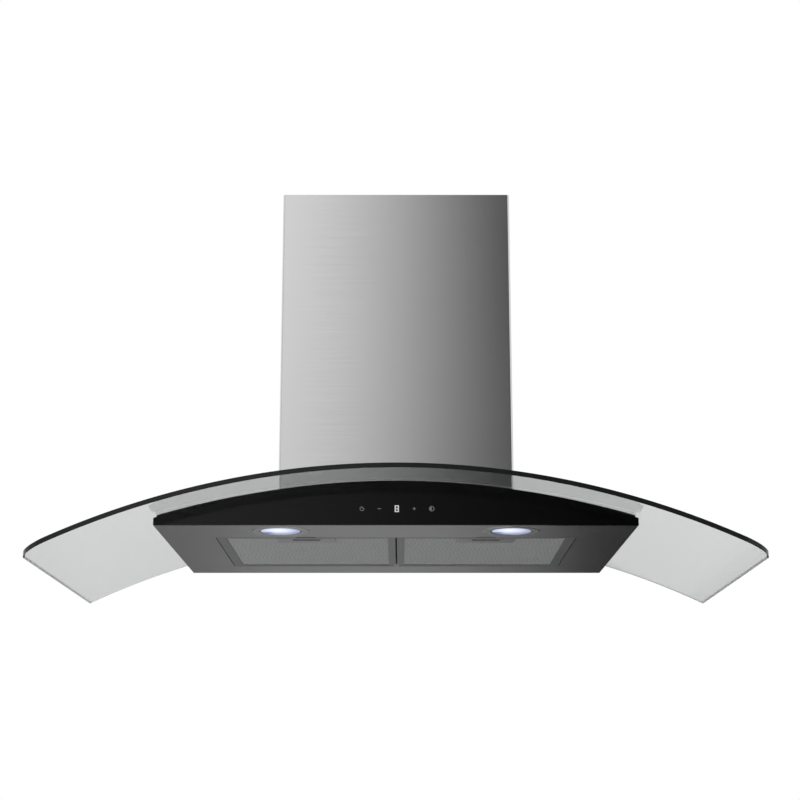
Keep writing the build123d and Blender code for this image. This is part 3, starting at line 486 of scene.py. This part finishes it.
on_off_r = 0.0028
on_off_bar_h = 0.0030
on_off_bar_x = 0.0003
less_w = 0.0044
more_w = 0.0040
more_arm_z = 0.0012
more_arm_h = 0.0016
light_r = 0.0033
light_half_r = 0.0020
bm = bmesh.new()
window(bm, ring(on_off_r, symbol_line, 110, 395), -2 * symbol_pitch)
window(bm, bar(on_off_bar_x, on_off_r / 2, symbol_line, on_off_bar_h), -2 * symbol_pitch)
window(bm, bar(0, 0, less_w, symbol_line), -symbol_pitch)
window(bm, bar(0, 0, more_w, symbol_line), symbol_pitch)
window(bm, bar(0, more_arm_z, symbol_line, more_arm_h), symbol_pitch)
window(bm, bar(0, -more_arm_z, symbol_line, more_arm_h), symbol_pitch)
window(bm, ring(light_r, symbol_line, 0, 359), 2 * symbol_pitch)
window(bm, arc((0, 0), light_half_r, radians(90), radians(270), 12), 2 * symbol_pitch)
symbols = solid_piece("touch_symbols", bm, lit("dim_window", 0.13))
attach(symbols, "hood")

digit_w = 0.0052
digit_h = 0.0084
digit_line = 0.0013
digit_gap = 0.0002
bm = bmesh.new()
for row in (-1, 0, 1):
    high = row * (digit_h - digit_line) / 2
    window(bm, bar(0, high, digit_w - 2 * digit_line, digit_line), 0)
for column in (-1, 1):
    for row in (-1, 1):
        length = (digit_h - digit_gap) / 2
        beside = column * (digit_w - digit_line) / 2
        window(bm, bar(beside, row * (digit_h - length) / 2, digit_line, length), 0)
digit = solid_piece("speed_digit", bm, lit("bright_window", 0.62))
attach(digit, "hood")


# Lamps: a turned ring in satin chrome carries a frosted lens, and two leaf springs hold it
# in the panel. Behind it a round board with six light diodes lies in a finned aluminium can.
chrome = finish("satin_chrome", Metallic=1.0)
turning = chrome.node(
    "TexWave",
    {"wave_type": "RINGS", "rings_direction": "Z"},
    {"Vector": chrome.node("TexCoord", output="Generated"), "Scale": 60, "Distortion": 0.6},
)
coat(
    chrome,
    Base_Color=chrome.blend(turning, (0.70, 0.71, 0.72), (0.80, 0.81, 0.82)),
    Roughness=0.2 + turning * 0.08,
    Specular_Tint=(0.6, 0.6, 0.6),
    Normal=chrome.bump(turning, 0.00001),
)
dress(chrome, "lamp_bezel_left", "lamp_bezel_right")

lens = finish("lit_frosted_lens", IOR=1.49, Emission_Strength=1.0)
lens_place = lens.node("TexCoord", output="Generated")


def away_from(x, y):
    """Distance from a point of the lens, in lens widths."""
    values = {0: lens_place, 1: (x, y, 0.0)}
    return lens.node("VectorMath", {"operation": "DISTANCE"}, values, output="Value")


facets = lens.node("TexVoronoi", values={"Vector": lens.place(), "Scale": 330})
lens_middle = (0.5, 0.5)
lens_clear = 0.452
# Painted light: the glow, brightest off the lens's middle, and the blue patch are painted on the lens as
# emission. They are not cast by the diodes behind it.
glow_at = (0.45, 0.36)
patch_at = (0.19, 0.72)
lens_rim = away_from(*lens_middle) > lens_clear
glow = lens.node(
    "ValToRGB",
    {
        "stops": [
            (0.0, (0.95, 0.96, 1.0)),
            (0.14, (0.76, 0.79, 0.89)),
            (0.3, (0.50, 0.54, 0.74)),
            (0.42, (0.24, 0.28, 0.46)),
        ]
    },
    {0: away_from(*glow_at) * 0.85 + facets * 0.05},
)
patch = lens.node(
    "ValToRGB",
    {"stops": [(0.08, (1, 1, 1)), (0.2, (0, 0, 0))]},
    {0: away_from(*patch_at) + facets * 0.04},
)
shine = lens.blend(patch, glow, (0.03, 0.10, 0.34))
frosting = lens.blend(facets, (0.20, 0.21, 0.22), (0.26, 0.27, 0.28))
coat(
    lens,
    Base_Color=lens.blend(lens_rim, frosting, (0.01, 0.01, 0.01)),
    Roughness=0.3 + facets * 0.2,
    Emission_Color=lens.blend(lens_rim, shine, (0.0, 0.0, 0.0)),
    Normal=lens.bump(facets, 0.0001),
)
dress(lens, "lamp_lens_left", "lamp_lens_right")

aluminium = finish("bare_aluminium", Metallic=1.0, Specular_Tint=(0.30, 0.30, 0.30))
rolling = aluminium.noise(1, 3, aluminium.place((900, 14, 900)))
oxide = aluminium.noise(55, 4)
coat(
    aluminium,
    Base_Color=aluminium.blend(rolling * 0.6 + oxide * 0.4, (0.52, 0.53, 0.53), (0.68, 0.69, 0.69)),
    Roughness=0.34 + oxide * 0.16,
    Normal=aluminium.bump(rolling, 0.00001),
)
dress(aluminium, "lamp_can_left", "lamp_can_right")


# Grease filters: each is a frame of folded aluminium strip round a pack of expanded mesh,
# slit and stretched from sheet. A fine sheet shows below and a coarser one lies on top.
# The mesh leaves room for the latch case at the front.
diamond_w = 0.0054
diamond_l = 0.0094
strand = 0.0010
mesh_t = 0.0004


def expanded(bm, low, high, z, width, length, keep_out, lean):
    """Expanded mesh as one sheet: every diamond is a rim round a hole, leaning as slit metal does."""
    corners = {}

    def corner(x, y, is_upper):
        key = (round(x * 1e6), round(y * 1e6), is_upper)
        if key not in corners:
            corners[key] = bm.verts.new((x, y, z + (mesh_t if is_upper else 0)))
        return corners[key]

    rows = int((high.y - low.y) / length * 2) - 1
    columns = int((high.x - low.x) / width) - 1
    margin_x = (high.x - low.x - columns * width) / 2
    margin_y = (high.y - low.y - (rows + 1) * length / 2) / 2
    hole = 1 - strand * hypot(width, length) / (width * length)
    for row in range(rows):
        middle_y = low.y + margin_y + (row + 1) * length / 2
        for column in range(columns - row % 2):
            middle_x = low.x + margin_x + (column + 0.5 + 0.5 * (row % 2)) * width
            if keep_out[0].x < middle_x < keep_out[1].x and middle_y < keep_out[1].y:
                continue
            reach = [(width / 2, 0), (0, length / 2), (-width / 2, 0), (0, -length / 2)]
            rims = []
            for is_upper in (False, True):
                outer = [corner(middle_x + x, middle_y + y, is_upper) for x, y in reach]
                drop = mesh_t if is_upper else 0
                inner = [
                    bm.verts.new((middle_x + x * hole, middle_y + y * hole, z + drop + lean * y / length))
                    for x, y in reach
                ]
                rims.append((outer, inner))
            for step in range(4):
                after = (step + 1) % 4
                for outer, inner in rims:
                    bm.faces.new((outer[step], outer[after], inner[after], inner[step]))
                bm.faces.new((rims[0][1][step], rims[0][1][after], rims[1][1][after], rims[1][1][step]))


# Painted light and shade: random glints and bright and dark strokes at the diamond pitch, zigzagging along
# the filter, are painted into the mesh's colour for the sheen of its leaning strands. The glints also vary
# the roughness.
mesh_aluminium = finish("expanded_aluminium", Metallic=0.8, Specular_Tint=(0.85, 0.85, 0.85))
glint = mesh_aluminium.noise(420, 2)
shading_zigzag = mesh_aluminium.math("PINGPONG", mesh_aluminium.along("Y") + glint * 0.004, 0.045)
painted_strand_shading = mesh_aluminium.math("SINE", (mesh_aluminium.along("X") + shading_zigzag * 0.16) * (2 * pi / diamond_w))
coat(
    mesh_aluminium,
    Base_Color=mesh_aluminium.blend(
        glint + painted_strand_shading * 0.12, (0.46, 0.47, 0.47), (0.80, 0.81, 0.81)
    ),
    Roughness=0.5 + glint * 0.2,
    Normal=mesh_aluminium.bump(mesh_aluminium.noise(2600, 2), 0.00003),
)
for side in ("left", "right"):
    low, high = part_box(f"filter_mesh_{side}")
    case_low, case_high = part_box(f"latch_case_{side}")
    gap = Vector((0.002, 0.003, 0))
    keep_out = (case_low - gap, case_high + gap)
    bm = bmesh.new()
    expanded(bm, low, high, low.z + 0.0002, diamond_w, diamond_l, keep_out, 0.0009)
    expanded(bm, low, high, high.z - 2 * mesh_t, 2 * diamond_w, 2 * diamond_l, keep_out, 0.0004)
    mesh_piece = solid_piece(f"filter_pack_{side}", bm, mesh_aluminium)
    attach(mesh_piece, f"{side}_filter")
    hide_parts(f"filter_mesh_{side}")
dress(aluminium, "filter_frame_left", "filter_frame_right")
dress(zinc, "filter_hanger")


# Filter latches: a zinc-coated case inside each filter, a steel bar that slides in it, and
# a brushed stainless plate over it with the slot for a fingertip.
bar_steel = finish("pressed_steel_bar", Metallic=1.0)
drawn = bar_steel.noise(1, 3, bar_steel.place((1200, 30, 1200)))
coat(
    bar_steel,
    Base_Color=bar_steel.blend(drawn, (0.36, 0.36, 0.37), (0.52, 0.52, 0.52)),
    Roughness=0.32 + drawn * 0.14,
    Normal=bar_steel.bump(drawn, 0.00001),
)
dress(zinc, "latch_case_left", "latch_case_right")
dress(panel_steel, "latch_cover_left", "latch_cover_right")
dress(bar_steel, "latch_bar_left", "latch_bar_right")


# Chimney covers: two folded stainless shells, brushed from side to side. The upper one
# slides out of the lower one and hangs on a zinc-coated bracket. Clips hold the lower one.
across_z = (7, 7, 620)
cover_steel = brushed_steel("steel_brushed_round_the_cover", across_z)
cover_rub = cover_steel.noise(5, 3)
coat(
    cover_steel,
    Roughness=0.19 + cover_rub * 0.05,
    Anisotropic=0.9,
    Anisotropic_Rotation=0.25,
)
dress(cover_steel, "lower_chimney", "upper_chimney")
dress(zinc, "chimney_clips", "ceiling_bracket")


# Floor: a pale kitchen floor under the hood, at the height it has when the hood is hung
# 0.65 m over a hob. It catches the shadow and shows in the steel and glass. From below it
# is clear, so that the underside of the hood can be looked at.
floor_z = -1.55
floor_half = 150.0
floor = finish("pale_floor")
floor_tone = floor.noise(0.7, 3)
coat(
    floor,
    Base_Color=floor.blend(floor_tone, (0.58, 0.58, 0.58), (0.62, 0.62, 0.62)),
    Roughness=0.6 + floor_tone * 0.2,
    Alpha=1 - floor.node("NewGeometry", output="Backfacing"),
)
bm = bmesh.new()
bmesh.ops.create_grid(bm, x_segments=12, y_segments=12, size=floor_half)
ground = solid_piece("studio_floor", bm, floor)
ground.location.z = floor_z


# Studio: even white light from all round, a soft lamp over the left shoulder and a weaker
# one on the right. Dark cards in front, behind and below shade what the steel and glass
# reflect. They don't show in the picture and cast no shadow.
def card(name, corners, seen_through_glass, shade):
    """A dark card that shows in reflections, and through glass where seen_through_glass is set."""
    made = finish(name, Base_Color=(0.0, 0.0, 0.0), Specular_IOR_Level=0.0)
    coat(made, Alpha=shade(made))
    bm = bmesh.new()
    bm.faces.new([bm.verts.new(corner) for corner in corners])
    sheet = solid_piece(name, bm, made)
    sheet.visible_camera = False
    sheet.visible_diffuse = False
    sheet.visible_transmission = seen_through_glass
    sheet.visible_shadow = False


def ramp(value, first, last):
    """0 before first, 1 after last, smooth between."""
    values = {"Value": value, "From Min": first, "From Max": last}
    return value.tree.node("MapRange", {"interpolation_type": "SMOOTHSTEP"}, values)


def upright(low_x, high_x, y, low_z, high_z):
    return [(low_x, y, low_z), (high_x, y, low_z), (high_x, y, high_z), (low_x, y, high_z)]


def front_shade(made):
    """Dark on the right, with a softer border at the height of the front glass."""
    across = made.along("X")
    height = made.along("Z")
    edge = ramp(across, -0.6, 0.7)
    soft_edge = ramp(across, -1.1, 0.3) * 0.6 + ramp(across, -0.3, 1.2) * 0.33
    band = ramp(height, 0.55, 0.7) - ramp(height, 0.94, 1.1)
    return (edge + (soft_edge - edge) * band) * (1 - ramp(across, 1.7, 3.2))


def left_shade(made):
    return 0.35 - ramp(made.along("X"), -3.0, -1.6) * 0.35


front_cards_y = -5.0
for part, low_z, high_z in (("upper", 0.1, 14.0), ("lower", -1.5, 0.1)):
    front_corners = upright(-1.2, 3.2, front_cards_y, low_z, high_z)
    left_corners = upright(-9.0, -1.5, front_cards_y, low_z, high_z)
    card(f"{part}_front_card", front_corners, part == "upper", front_shade)
    card(f"{part}_left_card", left_corners, part == "upper", left_shade)


def rear_shade(made):
    across = made.along("X")
    density = 0.45 - ramp(across, -0.85, -0.3) * 0.37 + ramp(across, 0.05, 0.46) * 0.92
    density = density - ramp(across, 1.2, 2.2)
    return density * ramp(made.along("Z"), -0.68, -0.6)


rear_card_y = 3.4
card("rear_card", upright(-2.0, 2.2, rear_card_y, -0.68, 0.0), False, rear_shade)


def slanting(made, slope, first, last):
    """0 to 1 across a straight border that shifts sideways by slope for each metre further back."""
    return ramp(made.along("X") - made.along("Y") * slope, first, last)


def low_right_shade(made):
    clear_of_glass = ramp(made.along("X"), 0.47, 0.55)
    near = 1 - ramp(made.along("Y"), 1.8, 2.2)
    density = slanting(made, 0.072, 0.1375, 0.2165) - slanting(made, 0.375, 0.43, 1.42)
    return density * made.math("MAXIMUM", clear_of_glass, near)


def low_left_shade(made):
    return 0.5 - slanting(made, -0.1005, -0.32, -0.175) * 0.5


def sloping(low_x, high_x, front_y):
    """Corners of a card that rises from the floor at front_y to its upper edge behind the hood."""
    front_z = -1.5
    back_y = 3.3
    back_z = -0.62
    front = [(low_x, front_y, front_z), (high_x, front_y, front_z)]
    return front + [(high_x, back_y, back_z), (low_x, back_y, back_z)]


card("low_right_card", sloping(0.1, 4.0, -1.0), False, low_right_shade)
card("low_left_card", sloping(-4.0, -0.2, 0.7), False, low_left_shade)

world = Finish(bpy.data.worlds.new("studio"))
bpy.context.scene.world = world.owner
rays = world.node("LightPath", output="Is Camera Ray")
seen = world.math("MAXIMUM", rays, world.node("LightPath", output="Is Glossy Ray"))
seen = world.math("MAXIMUM", seen, world.node("LightPath", output="Is Transmission Ray"))
world_level = 0.55
backdrop = world.nodes["Background"]
world.feed(backdrop.inputs["Color"], (1.0, 1.0, 1.0))
world.feed(backdrop.inputs["Strength"], world_level + seen * (1 - world_level))


def soft_lamp(name, place, aim, size, power):
    data = bpy.data.lights.new(name, "AREA")
    data.shape = "DISK"
    data.size = size
    data.energy = power
    lamp = bpy.data.objects.new(name, data)
    lamp.location = place
    lamp.rotation_euler = (Vector(aim) - Vector(place)).to_track_quat("-Z", "Y").to_euler()
    lamp.visible_glossy = False
    lamp.visible_transmission = False
    bpy.context.scene.collection.objects.link(lamp)


soft_lamp("key_lamp", (-2.2, -2.6, 2.6), (0, -0.2, 0.1), 1.8, 90)
soft_lamp("fill_lamp", (2.6, -2.2, 0.8), (0, -0.2, 0.1), 1.6, 30)


# Camera: 1.2 m over the floor, 0.35 m below the underside of the hood and two metres before
# its front edge. It is tilted up and has a long lens.
camera_tilt = 13.8945
camera_data = bpy.data.cameras.new("camera")
camera_data.lens = 75.375
camera = bpy.data.objects.new("camera", camera_data)
camera.location = (0.00503, -2.4599, -0.3455)
camera.rotation_euler = (radians(90 + camera_tilt), 0, 0)
bpy.context.scene.collection.objects.link(camera)
bpy.context.scene.camera = camera
bpy.context.scene.view_settings.view_transform = "Standard"
